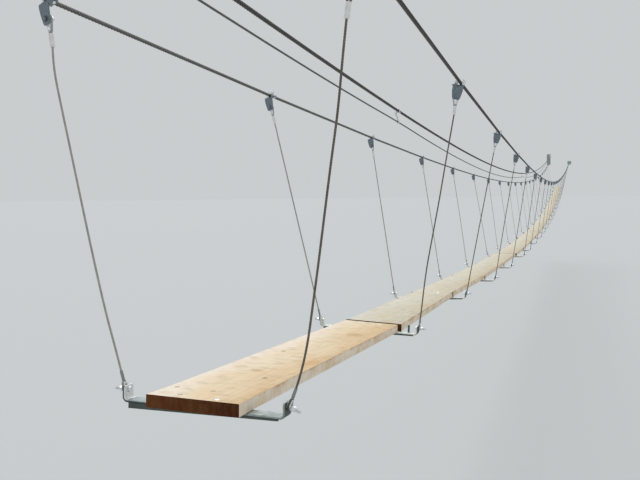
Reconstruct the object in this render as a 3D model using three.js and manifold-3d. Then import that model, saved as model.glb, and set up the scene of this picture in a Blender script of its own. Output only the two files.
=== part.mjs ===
// A plank footbridge hung between two rock faces: two carrying ropes, one on each side,
// hold a row of steel crossbars by thin wire hangers, and a single line of long planks lies
// on the crossbars. On the left a thick guard rope runs above the carrying rope, with a thin
// lifeline clamped below it. Every rope ends in an eye on an anchor plate on the rock.
// Millimetres, +Z up, +Y along the walk, +X to the walker's right.
import * as THREE from 'three';
import * as BufferGeometryUtils from 'three/addons/utils/BufferGeometryUtils.js';
import Module from 'manifold-3d';

const wasm = await Module();
wasm.setup();

// Along the walk, measured from the near anchor faces
const ANCHOR_RUN = 1200; // anchor face to the nearest crossbar
const FIRST_BAY = 1400;
const BAY = 1500;
const BARS = 22;
const PLANK_BAYS = 4;
const LOW_POINT_Y = 16175; // lowest point of the deck
const FIRST_BAR_RISE = 562; // first crossbar above the lowest point

// As hung: how far a crossbar or clamp lies off its even place, along, aside and up,
// and the degrees that a crossbar's right end is turned up
const BAR_SHIFT = { 2: 81, 3: -60, 4: -65, 5: -60, 6: 200, 7: -90 };
const BAR_ASIDE = { 2: -15, 3: -12 };
const BAR_RISE = { 1: 1, 2: -5, 3: 6 };
const BAR_ROLL = { 1: -0.3, 2: -2.2, 3: 2 };
const LEFT_CLAMP_SHIFT = { 2: -50 };
const RIGHT_CLAMP_SHIFT = { 1: -40, 2: -50 };

// Across the walk
const BAR_LENGTH = 447; // over the bent-up lugs
const ROPE_RISE = 1020; // carrying rope above the crossbar
const ROPE_X_LOW = 356; // carrying rope from the middle of the walk, at the lowest point
const ROPE_X_FIRST = 424; // and at the first crossbar, because the leaning hangers pull it in

// Planks
const PLANK_WIDTH = 250;
const PLANK_THICKNESS = 32;
const PLANK_OVERHANG = 63;
const PLANK_GAP = 28;
// The first two planks lie a little askew and narrow towards their far ends
const PLANK_EDGES = {
  1: { near: [-124, 127], far: [-118, 120] },
  2: { near: [-118, 131], far: [-125, 120] },
};

// Crossbars: steel angle, the flange on top and bent up at both ends, the leg cut tapering
const FLANGE_WIDTH = 40;
const STEEL = 6;
const LEG_DROP_LEFT = 20;
const LEG_DROP_RIGHT = 10;
const LEG_CUTBACK = 18;
const LUG_HEIGHT = 34; // above the flange's underside
const BEND_RADIUS = 8;
const BOLT_RISE = 23; // bolt above the flange
const BOLT_RADIUS = 4;
const NUT_RADIUS = 7.5;
const NUT_WIDTH = 7;
const BOLT_INSIDE = 7;
const BOLT_OUTSIDE = 34;

// Hangers
const HANGER_RADIUS = 3;
const FERRULE_RADIUS = 7;
const FERRULE_LENGTH = 36;
const EYE_WIDTH = 8;
const EYE_HOLE = 7;
const EYE_RADIUS = 13;
const EYE_NECK = 30; // eye centre to the ferrule

// Hanger brackets on the carrying rope
const BRACKET_WIDTH = 42;
const BRACKET_FOOT = 24;
const BRACKET_RISE = 12; // top of the bracket above the rope's middle
const BRACKET_HEIGHT = 78;
const BRACKET_TAPER = 30;
const BRACKET_STEEL = 8;
const BRACKET_TURN = THREE.MathUtils.degToRad(20);
const BRACKET_HOLE_DROP = 56; // rope's middle to the top of the hanger's upper eye
const UPPER_EYE_LENGTH = 40;

// Ropes
const CARRYING_ROPE = 13;
const GUARD_ROPE = 20;
const LIFELINE = 10;
const GUARD_X = -394;
const GUARD_LOW_Y = 16290;
const GUARD_LOW_RISE = 1227; // guard rope's lowest point above the deck's
const GUARD_END_RISE = 783; // guard rope at the near anchor above its lowest point
const LINK_STATIONS = [4800, 16850, 29000];
const LINK_DROP = 80; // guard rope to lifeline at the links
const LIFELINE_SAG = 45; // further drop half way between links
const LIFELINE_END_SAG = 11; // and between an anchor and a link
const LINK_WIDTH = 32;
const LINK_STEEL = 8;
const GRIP_SIZE = 30; // a link's grip on the guard rope
const LOWER_GRIP_SIZE = 22;

// Anchors
const PLATE_SIZE = 160;
const PLATE_STEEL = 12;
const LUG_STEEL = 12;
const LUG_REACH = 48; // anchor plate to the lug's hole
const LUG_RIM = 14;
const CLIPS = 3;
const CLIP_PITCH = 6; // in rope diameters
const FIT_GAP = 0.3;

const wood = new THREE.MeshStandardMaterial({ color: 0xd9c7a0, roughness: 0.85, metalness: 0 });
const galvanised = new THREE.MeshStandardMaterial({ color: 0xaeb6b8, roughness: 0.5, metalness: 0.8 });
const wireRope = new THREE.MeshStandardMaterial({ color: 0x6d6f6c, roughness: 0.55, metalness: 0.8 });

const WALK = new THREE.Vector3(0, 1, 0);

// Stations along the walk, counted from 1
const barNumbers = Array.from({ length: BARS }, (_, i) => i + 1);
const evenStation = (n) => (n === 1 ? ANCHOR_RUN : ANCHOR_RUN + FIRST_BAY + (n - 2) * BAY);
const barStation = (n) => evenStation(n) + (BAR_SHIFT[n] ?? 0);
function clampStation(side, n) {
  const shifts = side < 0 ? LEFT_CLAMP_SHIFT : RIGHT_CLAMP_SHIFT;
  return evenStation(n) + (shifts[n] ?? 0);
}
const FAR_FACE_Y = evenStation(BARS) + ANCHOR_RUN;

// The deck hangs in a shallow parabola
const lowness = (y) => ((y - LOW_POINT_Y) / (evenStation(1) - LOW_POINT_Y)) ** 2;
const deckHeight = (y) => FIRST_BAR_RISE * lowness(y);
const deckSlope = (y) => (2 * FIRST_BAR_RISE * (y - LOW_POINT_Y)) / (evenStation(1) - LOW_POINT_Y) ** 2;

// Where a crossbar hangs, from the middle of its flange's top
function barPlace(n) {
  const y = barStation(n);
  const middle = new THREE.Vector3(BAR_ASIDE[n] ?? 0, y, deckHeight(y) + (BAR_RISE[n] ?? 0));
  const roll = THREE.MathUtils.degToRad(BAR_ROLL[n] ?? 0);
  const turn = new THREE.Quaternion().setFromEuler(new THREE.Euler(Math.atan(deckSlope(y)), -roll, 0));
  return new THREE.Matrix4().compose(middle, turn, new THREE.Vector3(1, 1, 1));
}

// The carrying ropes follow it at hand height, and run straight past the outermost hangers
function carryingPoint(side, y) {
  const curved = (at) => new THREE.Vector3(
    side * (ROPE_X_LOW + (ROPE_X_FIRST - ROPE_X_LOW) * lowness(at)),
    at,
    deckHeight(at) + ROPE_RISE,
  );
  const first = evenStation(1);
  const last = evenStation(BARS);
  if (y >= first && y <= last) {
    return curved(y);
  }
  const end = y < first ? first : last;
  const step = y < first ? 1 : -1;
  const direction = curved(end + step).sub(curved(end)).multiplyScalar(step);
  return curved(end).addScaledVector(direction, y - end);
}

function guardPoint(y) {
  const rise = GUARD_END_RISE * ((y - GUARD_LOW_Y) / GUARD_LOW_Y) ** 2;
  return new THREE.Vector3(GUARD_X, y, GUARD_LOW_RISE + rise);
}

// The lifeline droops a little more between its links
function lifelinePoint(y) {
  const stops = [0, ...LINK_STATIONS, FAR_FACE_Y];
  const next = Math.max(1, stops.findIndex((stop) => stop >= y));
  const share = (y - stops[next - 1]) / (stops[next] - stops[next - 1]);
  const atEnd = next === 1 || next === stops.length - 1;
  const sag = 4 * (atEnd ? LIFELINE_END_SAG : LIFELINE_SAG) * share * (1 - share);
  const point = guardPoint(y);
  point.z -= LINK_DROP + sag;
  return point;
}

// The ropes, each with its diameter, its line and the stations where it bends
const slackStations = barNumbers.filter((n) => n % 2 === 0).map(evenStation);
const linkedStations = [...slackStations, ...LINK_STATIONS].sort((a, b) => a - b);
const carryingRope = (side) => ({
  diameter: CARRYING_ROPE,
  pointAt: (y) => carryingPoint(side, y),
  stations: barNumbers.map((n) => clampStation(side, n)),
});
const guardRope = { diameter: GUARD_ROPE, pointAt: guardPoint, stations: linkedStations };
const lifeline = { diameter: LIFELINE, pointAt: lifelinePoint, stations: linkedStations };

// A line through given points, stepped point by point instead of by length
class PointLine extends THREE.Curve {
  constructor(points) {
    super();
    this.points = points;
  }

  getPoint(t, target = new THREE.Vector3()) {
    const place = t * (this.points.length - 1);
    const index = Math.min(Math.floor(place), this.points.length - 2);
    return target.lerpVectors(this.points[index], this.points[index + 1], place - index);
  }

  getPointAt(u, target) {
    return this.getPoint(u, target);
  }

  getTangentAt(u, target = new THREE.Vector3()) {
    const index = Math.round(u * (this.points.length - 1));
    const before = this.points[Math.max(index - 1, 0)];
    const after = this.points[Math.min(index + 1, this.points.length - 1)];
    return target.subVectors(after, before).normalize();
  }
}

// Solids
function solid(geometry) {
  const bare = geometry.index ? geometry.toNonIndexed() : geometry.clone();
  bare.deleteAttribute('normal');
  bare.deleteAttribute('uv');
  const merged = BufferGeometryUtils.mergeVertices(bare, 1e-4);
  return new wasm.Manifold(new wasm.Mesh({
    numProp: 3,
    vertProperties: new Float32Array(merged.attributes.position.array),
    triVerts: new Uint32Array(merged.index.array),
  }));
}

const joined = (geometries) => geometries.map(solid).reduce((sum, next) => sum.add(next));

function geometryOf(manifold) {
  const mesh = manifold.getMesh();
  const geometry = new THREE.BufferGeometry();
  geometry.setAttribute('position', new THREE.BufferAttribute(new Float32Array(mesh.vertProperties), 3));
  geometry.setIndex(new THREE.BufferAttribute(new Uint32Array(mesh.triVerts), 1));
  geometry.computeVertexNormals();
  return geometry;
}

function named(name, geometry, material) {
  const mesh = new THREE.Mesh(geometry, material);
  mesh.name = name;
  return mesh;
}

const box = (sizeX, sizeY, sizeZ) => new THREE.BoxGeometry(sizeX, sizeY, sizeZ);
const movedTo = (geometry, point) => geometry.translate(point.x, point.y, point.z);

// A regular polygon whose flats lie at the radius, or its corners
const cornersAt = (radius, sides, turn = 0) => Array.from({ length: sides }, (_, i) => {
  const angle = turn + (2 * Math.PI * i) / sides;
  return new THREE.Vector2(radius * Math.cos(angle), radius * Math.sin(angle));
});
const flatsAt = (radius, sides) => cornersAt(radius / Math.cos(Math.PI / sides), sides, Math.PI / sides);

function ring(outer, inner, width) {
  const shape = new THREE.Shape(outer);
  shape.holes.push(new THREE.Path(inner));
  return new THREE.ExtrudeGeometry(shape, { depth: width, bevelEnabled: false }).translate(0, 0, -width / 2);
}

function swept(section, points) {
  return new THREE.ExtrudeGeometry(new THREE.Shape(section), {
    steps: points.length - 1,
    extrudePath: new PointLine(points),
    bevelEnabled: false,
  });
}

const ropeAlong = (points, diameter) => swept(cornersAt(diameter / 2, 6), points);

// A profile of [radius, distance] pairs turned about a line
function turnedAlong(profile, from, direction, sides) {
  const points = profile.map(([radius, distance]) => new THREE.Vector2(radius, distance));
  const turn = new THREE.Quaternion().setFromUnitVectors(new THREE.Vector3(0, 1, 0), direction);
  return movedTo(new THREE.LatheGeometry(points, sides).applyQuaternion(turn), from);
}

// A plank lies flat on the flange of each crossbar under it, and is straight between them:
// its corners stand in rows over the flanges' edges
function plank(number, first, last) {
  const overhangAt = (n) => (n === 1 || n === BARS ? PLANK_OVERHANG : -PLANK_GAP / 2);
  const rows = barNumbers.slice(first - 1, last).flatMap((n) => {
    const before = n === first ? -overhangAt(n) : -FLANGE_WIDTH / 2;
    const after = n === last ? overhangAt(n) : FLANGE_WIDTH / 2;
    return [before, after].map((along) => ({ along, aside: BAR_ASIDE[n] ?? 0, place: barPlace(n) }));
  });
  const half = PLANK_WIDTH / 2;
  const { near, far } = PLANK_EDGES[number] ?? { near: [-half, half], far: [-half, half] };

  // A unit box, its corners moved to their rows
  const geometry = new THREE.BoxGeometry(1, 1, 1, 1, rows.length - 1, 1);
  const { position } = geometry.attributes;
  const corner = new THREE.Vector3();
  for (let i = 0; i < position.count; i += 1) {
    corner.fromBufferAttribute(position, i);
    const share = corner.y + 0.5;
    const { along, aside, place } = rows[Math.round(share * (rows.length - 1))];
    const edge = corner.x < 0 ? 0 : 1;
    const across = THREE.MathUtils.lerp(near[edge], far[edge], share) - aside;
    corner.set(across, along, FIT_GAP + (corner.z + 0.5) * PLANK_THICKNESS).applyMatrix4(place);
    position.setXYZ(i, corner.x, corner.y, corner.z);
  }
  return geometry;
}

// The flange with its bent-up lugs, seen along the walk, its top at height 0
function flangeOutline() {
  const outerX = BAR_LENGTH / 2;
  const innerX = outerX - STEEL;
  const outerBend = BEND_RADIUS + STEEL;
  const shape = new THREE.Shape();
  shape.moveTo(outerX, LUG_HEIGHT);
  shape.lineTo(innerX, LUG_HEIGHT);
  shape.absarc(innerX - BEND_RADIUS, BEND_RADIUS, BEND_RADIUS, 0, -Math.PI / 2, true);
  shape.absarc(-innerX + BEND_RADIUS, BEND_RADIUS, BEND_RADIUS, -Math.PI / 2, -Math.PI, true);
  shape.lineTo(-innerX, LUG_HEIGHT);
  shape.lineTo(-outerX, LUG_HEIGHT);
  shape.absarc(-outerX + outerBend, BEND_RADIUS, outerBend, -Math.PI, -Math.PI / 2, false);
  shape.absarc(outerX - outerBend, BEND_RADIUS, outerBend, -Math.PI / 2, 0, false);
  shape.closePath();
  return shape;
}

// Distances run outwards from the lug's outer face
function bolt(side) {
  const nutFrom = EYE_WIDTH + 2;
  const profile = [
    [0, -STEEL - BOLT_INSIDE],
    [NUT_RADIUS, -STEEL - BOLT_INSIDE],
    [NUT_RADIUS, -STEEL / 2],
    [BOLT_RADIUS, -STEEL / 2],
    [BOLT_RADIUS, nutFrom],
    [NUT_RADIUS, nutFrom],
    [NUT_RADIUS, nutFrom + NUT_WIDTH],
    [BOLT_RADIUS, nutFrom + NUT_WIDTH],
    [BOLT_RADIUS, BOLT_OUTSIDE],
    [0, BOLT_OUTSIDE],
  ];
  const lug = new THREE.Vector3((side * BAR_LENGTH) / 2, 0, BOLT_RISE);
  return turnedAlong(profile, lug, new THREE.Vector3(side, 0, 0), 6);
}

function crossbar() {
  const flange = new THREE.ExtrudeGeometry(flangeOutline(), {
    depth: FLANGE_WIDTH,
    curveSegments: 1,
    bevelEnabled: false,
  });
  flange.rotateX(Math.PI / 2).translate(0, FLANGE_WIDTH / 2, 0);
  const legEnd = BAR_LENGTH / 2 - LEG_CUTBACK;
  const legOutline = new THREE.Shape([
    new THREE.Vector2(-legEnd, -STEEL / 2),
    new THREE.Vector2(-legEnd, -LEG_DROP_LEFT),
    new THREE.Vector2(legEnd, -LEG_DROP_RIGHT),
    new THREE.Vector2(legEnd, -STEEL / 2),
  ]);
  const leg = new THREE.ExtrudeGeometry(legOutline, { depth: STEEL, bevelEnabled: false });
  leg.rotateX(Math.PI / 2).translate(0, STEEL - FLANGE_WIDTH / 2, 0);
  return geometryOf(joined([flange, leg, bolt(-1), bolt(1)]));
}

// Where a hanger's lower eye sits on its bolt: the crossbar hangs in the eye
function lowerEyeCentre(side, n) {
  const seat = new THREE.Vector3(0, 0, EYE_HOLE - BOLT_RADIUS - FIT_GAP);
  const boltPoint = new THREE.Vector3(side * (BAR_LENGTH / 2 + 1 + EYE_WIDTH / 2), 0, BOLT_RISE);
  return boltPoint.applyMatrix4(barPlace(n)).add(seat);
}

// A bracket grips the carrying rope and hangs below it, its face nearly square to the walk,
// leaning with its hanger
function bracket(side, ropePoint, lean) {
  const bottom = BRACKET_RISE - BRACKET_HEIGHT;
  const outline = new THREE.Shape([
    new THREE.Vector2(-BRACKET_WIDTH / 2, BRACKET_RISE),
    new THREE.Vector2(-BRACKET_WIDTH / 2, bottom + BRACKET_TAPER),
    new THREE.Vector2(-BRACKET_FOOT / 2, bottom),
    new THREE.Vector2(BRACKET_FOOT / 2, bottom),
    new THREE.Vector2(BRACKET_WIDTH / 2, bottom + BRACKET_TAPER),
    new THREE.Vector2(BRACKET_WIDTH / 2, BRACKET_RISE),
  ]);
  const plate = new THREE.ExtrudeGeometry(outline, { depth: BRACKET_STEEL, bevelEnabled: false })
    .translate(0, 0, -BRACKET_STEEL / 2)
    .rotateX(Math.PI / 2)
    .rotateZ(side * BRACKET_TURN)
    .rotateY(lean);
  return movedTo(plate, ropePoint);
}

function hanger(side, n) {
  const ropePoint = carryingPoint(side, clampStation(side, n));
  const eye = lowerEyeCentre(side, n);
  const lean = Math.atan2(ropePoint.x - eye.x, ropePoint.z - eye.z);
  const drop = new THREE.Vector3(0, 0, -BRACKET_HOLE_DROP).applyAxisAngle(WALK, lean);
  const top = ropePoint.clone().add(drop);
  const length = eye.distanceTo(top);
  const upperEyeEnd = length - UPPER_EYE_LENGTH;
  const profile = [
    [0, EYE_RADIUS - 4],
    [FERRULE_RADIUS, EYE_NECK],
    [FERRULE_RADIUS, EYE_NECK + FERRULE_LENGTH],
    [HANGER_RADIUS, EYE_NECK + FERRULE_LENGTH + 2],
    [HANGER_RADIUS, upperEyeEnd - FERRULE_LENGTH - 2],
    [FERRULE_RADIUS, upperEyeEnd - FERRULE_LENGTH],
    [FERRULE_RADIUS, upperEyeEnd],
    [0, length],
  ];
  const line = turnedAlong(profile, eye, top.clone().sub(eye).normalize(), 5);
  const lowerEye = ring(flatsAt(EYE_RADIUS, 6), flatsAt(EYE_HOLE, 6), EYE_WIDTH).rotateY(Math.PI / 2);
  return [line, movedTo(lowerEye, eye), bracket(side, ropePoint, lean)];
}

// A rope's end eye hangs in the hole of an anchor lug
const lugHole = (diameter) => 0.75 * diameter + 2;
const eyeInner = (diameter) => 1.3 * diameter + 3;
const eyeThickness = (diameter) => 0.96 * diameter;
const lugStation = (isFar) => (isFar ? FAR_FACE_Y - PLATE_STEEL - LUG_REACH : PLATE_STEEL + LUG_REACH);

function ropeEnd(rope, isFar) {
  const { diameter, pointAt } = rope;
  const inward = isFar ? -1 : 1;
  const hole = pointAt(lugStation(isFar));
  const direction = pointAt(lugStation(isFar) + inward).sub(hole).normalize();
  const slope = Math.atan(inward * direction.z);
  const inHole = Math.sqrt(lugHole(diameter) ** 2 - (eyeThickness(diameter) / 2) ** 2);
  const inner = eyeInner(diameter);
  const outer = inner + diameter;
  const centre = hole.addScaledVector(direction, inHole + inner - FIT_GAP);
  const eye = ring(flatsAt(outer, 8), flatsAt(inner, 8), eyeThickness(diameter)).rotateX(slope);

  // The rope's tail comes back under it and is held by clips
  const start = centre.clone().addScaledVector(direction, outer - diameter / 2);
  const along = (diameters) => start.clone().addScaledVector(direction, diameters * diameter);
  const down = new THREE.Vector3(0, 0, -diameter);
  const tail = [start, along(2).add(down), along(CLIP_PITCH * (CLIPS + 0.4)).add(down)];
  const pieces = [movedTo(eye, centre), ropeAlong(tail, eyeThickness(diameter))];
  for (let i = 1; i <= CLIPS; i += 1) {
    const clip = box(3 * diameter, 1.6 * diameter, 2.6 * diameter).translate(0, 0, -diameter / 2);
    pieces.push(movedTo(clip.rotateX(slope), along(CLIP_PITCH * i)));
  }
  return { pieces, start };
}

function ropePoints(rope) {
  return [ropeEnd(rope, false).start, ...rope.stations.map(rope.pointAt), ropeEnd(rope, true).start];
}

function ropePieces(rope) {
  const line = ropeAlong(ropePoints(rope), rope.diameter);
  return [line, ...ropeEnd(rope, false).pieces, ...ropeEnd(rope, true).pieces];
}

function carryingRopeWithHangers(side) {
  const hangers = barNumbers.flatMap((n) => hanger(side, n));
  return geometryOf(joined([...ropePieces(carryingRope(side)), ...hangers]));
}

// Link plates are clamped on the guard rope and let the lifeline through their lower grip
function guardRopeWithLinks() {
  const links = LINK_STATIONS.flatMap((y) => {
    const top = guardPoint(y);
    const bottom = lifelinePoint(y);
    const middle = top.clone().lerp(bottom, 0.5);
    return [
      movedTo(box(GRIP_SIZE, LINK_WIDTH, GRIP_SIZE), top),
      movedTo(box(LINK_STEEL, LINK_WIDTH, top.z - bottom.z), middle),
      movedTo(box(LOWER_GRIP_SIZE, LINK_WIDTH, LOWER_GRIP_SIZE), bottom),
    ];
  });
  const passage = ropeAlong(ropePoints(lifeline), LIFELINE + 2 * FIT_GAP);
  return geometryOf(joined([...ropePieces(guardRope), ...links]).subtract(solid(passage)));
}

// Anchor plates stand against the rock, with one lug for each rope they hold
function anchorLug(rope, isFar) {
  const hole = lugHole(rope.diameter);
  const nose = hole + LUG_RIM;
  const root = nose + LUG_RIM;
  const shape = new THREE.Shape();
  shape.moveTo(0, -root);
  shape.lineTo(LUG_REACH, -nose);
  shape.absarc(LUG_REACH, 0, nose, -Math.PI / 2, Math.PI / 2, false);
  shape.lineTo(0, root);
  shape.closePath();
  shape.holes.push(new THREE.Path(flatsAt(hole, 12).map((point) => point.add(new THREE.Vector2(LUG_REACH, 0)))));
  const lug = new THREE.ExtrudeGeometry(shape, { depth: LUG_STEEL, curveSegments: 5, bevelEnabled: false })
    .translate(-LUG_REACH, 0, -LUG_STEEL / 2)
    .rotateX(Math.PI / 2)
    .rotateZ(isFar ? -Math.PI / 2 : Math.PI / 2);
  return movedTo(lug, rope.pointAt(lugStation(isFar)));
}

function anchor(ropes, isFar) {
  const lugPoints = ropes.map((rope) => rope.pointAt(lugStation(isFar)));
  const heights = lugPoints.map((point) => point.z);
  const top = Math.max(...heights) + PLATE_SIZE / 2;
  const bottom = Math.min(...heights) - PLATE_SIZE / 2;
  const plateY = isFar ? FAR_FACE_Y - PLATE_STEEL / 2 : PLATE_STEEL / 2;
  const plate = box(PLATE_SIZE, PLATE_STEEL, top - bottom);
  plate.translate(lugPoints[0].x, plateY, (top + bottom) / 2);
  return geometryOf(joined([plate, ...ropes.map((rope) => anchorLug(rope, isFar))]));
}

// The origin is on the near left anchor's face against the rock, behind the carrying rope's lug
const bridge = new THREE.Group();
const firstLug = carryingPoint(-1, lugStation(false));
bridge.position.set(-firstLug.x, 0, -firstLug.z);

const barGeometry = crossbar();
for (const n of barNumbers) {
  const bar = named(`crossbar_${String(n).padStart(2, '0')}`, barGeometry, galvanised);
  bar.applyMatrix4(barPlace(n));
  bridge.add(bar);
}

const plankEnds = [1, ...barNumbers.filter((n) => n % PLANK_BAYS === 2)];
for (let i = 1; i < plankEnds.length; i += 1) {
  bridge.add(named(`plank_${i}`, plank(i, plankEnds[i - 1], plankEnds[i]), wood));
}

bridge.add(named('left_carrying_rope', carryingRopeWithHangers(-1), wireRope));
bridge.add(named('right_carrying_rope', carryingRopeWithHangers(1), wireRope));
bridge.add(named('guard_rope', guardRopeWithLinks(), wireRope));
bridge.add(named('lifeline', geometryOf(joined(ropePieces(lifeline))), wireRope));

for (const [end, isFar] of [['near', false], ['far', true]]) {
  const leftRopes = [carryingRope(-1), guardRope, lifeline];
  bridge.add(named(`${end}_left_anchor`, anchor(leftRopes, isFar), galvanised));
  bridge.add(named(`${end}_right_anchor`, anchor([carryingRope(1)], isFar), galvanised));
}

const part = new THREE.Group();
part.add(bridge);
export default part;
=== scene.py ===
"""Dresses the plank footbridge: sawn planks on bent steel crossbars, laid wire ropes, thin
wire hangers with pressed ferrules, rope clamps and anchor fittings. Lengths are in
millimetres, with x across the walk from its middle, y along it from the near anchor faces
and z up from the deck's lowest point, until place() turns them into the model's frame."""
import math
from functools import partial

import bpy
import numpy as np
from mathutils import Matrix


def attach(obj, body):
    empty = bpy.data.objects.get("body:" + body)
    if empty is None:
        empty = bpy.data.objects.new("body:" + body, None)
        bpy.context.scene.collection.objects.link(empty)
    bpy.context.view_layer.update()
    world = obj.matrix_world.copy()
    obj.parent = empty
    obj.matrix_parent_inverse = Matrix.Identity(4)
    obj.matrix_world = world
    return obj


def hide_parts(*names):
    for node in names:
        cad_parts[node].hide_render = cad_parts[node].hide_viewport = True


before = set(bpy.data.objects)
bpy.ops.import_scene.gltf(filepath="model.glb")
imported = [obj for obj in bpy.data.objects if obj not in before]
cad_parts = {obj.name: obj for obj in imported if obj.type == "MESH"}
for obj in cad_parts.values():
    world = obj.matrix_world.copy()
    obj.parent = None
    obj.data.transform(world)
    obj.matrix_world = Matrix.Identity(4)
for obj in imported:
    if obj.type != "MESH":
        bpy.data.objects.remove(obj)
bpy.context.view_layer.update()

# The bridge as a whole
ORIGIN = np.array([434.353, 0.0, -1667.564])  # middle of the walk in the model's frame
ANCHOR_RUN = 1200.0
FIRST_BAY = 1400.0
BAY = 1500.0
BARS = 22
PLANK_BAYS = 4
LOW_POINT_Y = 16175.0
FIRST_BAR_RISE = 562.0
BAR_SHIFT = {2: 81, 3: -60, 4: -65, 5: -60, 6: 200, 7: -90}  # as hung, along the walk
BAR_ASIDE = {2: -15, 3: -12}
BAR_RISE = {1: 1, 2: -5, 3: 6}
BAR_ROLL = {1: -0.3, 2: -2.2, 3: 2}  # degrees, right end up
CLAMP_SHIFT = {(-1, 2): -50, (1, 1): -40, (1, 2): -50}
ROPE_RISE = 1020.0
ROPE_X_LOW = 356.0
ROPE_X_FIRST = 424.0
GUARD_X = -394.0
GUARD_LOW_Y = 16290.0
GUARD_LOW_RISE = 1227.0
GUARD_END_RISE = 783.0
LINK_STATIONS = (4800.0, 16850.0, 29000.0)
LINK_DROP = 80.0
LIFELINE_SAG = 45.0
LIFELINE_END_SAG = 11.0

# Planks
PLANK_WIDTH = 250.0
PLANK_THICKNESS = 32.0
PLANK_OVERHANG = 63.0
PLANK_GAP = 28.0
PLANK_EDGES = {1: ((-124, 127), (-118, 120)),  # left and right edge, at the near and the far end
               2: ((-118, 131), (-125, 120))}
PLANK_SEAT = 0.3
PLANK_EDGE = 1.8  # rounding of the sawn edges
BOARD_STEP = 60.0
SCREWS = ((-96, 32), (-46, -35), (9, 28), (59, -41))  # across the board and along from the bar
SCREW_HEAD = 7.5

# Crossbars
BAR_LENGTH = 447.0
FLANGE_WIDTH = 40.0
STEEL = 6.0
LEG_DROP_LEFT = 20.0
LEG_DROP_RIGHT = 10.0
LEG_CUTBACK = 18.0
LUG_HEIGHT = 34.0
BEND_RADIUS = 8.0
LEFT_BEND_LENGTHS = 11  # lengths of the strip from the left lug's top to the end of its bend
BOLT_RISE = 23.0
BOLT_RADIUS = 4.0
BOLT_OUTSIDE = 34.0
BOLT_DROOP = {(1, 1): math.radians(22)}  # the near right bolt has been bent down
THREAD_FROM = 10.0
THREAD_PITCH = 1.25
HEAD_FLATS = 13.0  # of an M8 bolt's head and nut
HEAD_HEIGHT = 5.5
HEAD_CROWN = 0.7
STOP_HEIGHT = 31.0
STOP_WIDTH = 14.0
STOP_BACK = 12.0
STOP_REACH = 129.0
STOP_AT = {(-1, 2): -122, (1, 2): 164, (1, 4): 141, (1, 5): 147}  # stops out of line

# Hangers and their brackets
HANGER_ROPE = 6.0
HANGER_POINTS = 41
EYE_WIDTH = 8.0
FERRULE_RADIUS = 6.4
FERRULE_LENGTH = 36.0
SLEEVE_RADIUS = 4.0
SLEEVE_LENGTH = 28.0
EYE_HOLE = 6.7
THIMBLE_STEEL = 1.2
EYE_NECK = 34.0
LOWER_NECK = 18.0
BRACKET_WIDTH = 42.0
BRACKET_FOOT = 24.0
BRACKET_BOTTOM = -66.0
BRACKET_DROP = {(1, 1): 17.0}  # the near right bracket reaches lower
BRACKET_STEEL = 5.0
BRACKET_SHELF = 32.0
BRACKET_BEND = 6.0
BRACKET_TURN = math.radians(20)
BRACKET_ASIDE = -6.0  # all stand a little to the left of the rope
PIN_RADIUS = 3.9
PIN_RISE = 14.0
NUT_HEIGHT = 6.5
STRAP_STEEL = 3.0
STRAP_WIDTH = 16.0
STRAP_BOLTS = 13.0  # from the rope's middle
SMALL_BOLT = 2.4  # the strap bolts' radius
SMALL_FLATS = 8.0
EAR_TOPS = {-1: 9.5, 1: 17.5}  # above the rope's middle, left and right
EAR_FOOT = -6.3
EAR_NEAR = 8.5
EAR_FAR = 21.0
EAR_TIP = 11.5
EAR_FORWARD = 7.0

# Ropes
CARRYING_ROPE = 13.0
GUARD_ROPE = 20.0
LIFELINE = 10.0
STRANDS = 6
LAY = 6.5  # one turn of a strand, in rope diameters
NEAR_RUN = 5000.0  # the stretch with finer strands
LINK_ROD = 3.0
LINK_STRAP = 28.0
KEEPER_STRAP = 26.0

# Anchors
PLATE_SIZE = 160.0
PLATE_STEEL = 12.0
PLATE_CORNER = 8.0
ROCK_BOLT_INSET = 26.0
LUG_STEEL = 12.0
LUG_REACH = 48.0
LUG_RIM = 14.0
CLIPS = 3
CLIP_PITCH = 3.72  # in rope diameters

# Grain of the wood and the zinc
YEAR = 6.0  # width of a yearly ring
SAW_RIPPLE = 7.0
ZINC_CRYSTAL = 9.0

X = np.array([1.0, 0.0, 0.0])
Y = np.array([0.0, 1.0, 0.0])
Z = np.array([0.0, 0.0, 1.0])


# Stations and curves of the bridge
def even_station(n):
    return ANCHOR_RUN if n == 1 else ANCHOR_RUN + FIRST_BAY + (n - 2) * BAY


def bar_station(n):
    return even_station(n) + BAR_SHIFT.get(n, 0)


def clamp_station(side, n):
    return even_station(n) + CLAMP_SHIFT.get((side, n), 0)


FIRST_Y = even_station(1)
LAST_Y = even_station(BARS)
FAR_FACE_Y = LAST_Y + ANCHOR_RUN
BAR_NUMBERS = range(1, BARS + 1)


def lowness(y):
    return ((y - LOW_POINT_Y) / (FIRST_Y - LOW_POINT_Y)) ** 2


def deck_height(y):
    return FIRST_BAR_RISE * lowness(y)


def deck_slope(y):
    return 2 * FIRST_BAR_RISE * (y - LOW_POINT_Y) / (FIRST_Y - LOW_POINT_Y) ** 2


def bar_place(n):
    """The middle of a crossbar's flange top and its axes across, along and up."""
    y = bar_station(n)
    tilt = math.atan(deck_slope(y))
    roll = math.radians(BAR_ROLL.get(n, 0))
    middle = np.array([BAR_ASIDE.get(n, 0), y, deck_height(y) + BAR_RISE.get(n, 0)])
    along = np.array([0, math.cos(tilt), math.sin(tilt)])
    up = np.array([0, -math.sin(tilt), math.cos(tilt)])
    across = X * math.cos(roll) + up * math.sin(roll)
    return middle, across, along, np.cross(across, along)


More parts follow.
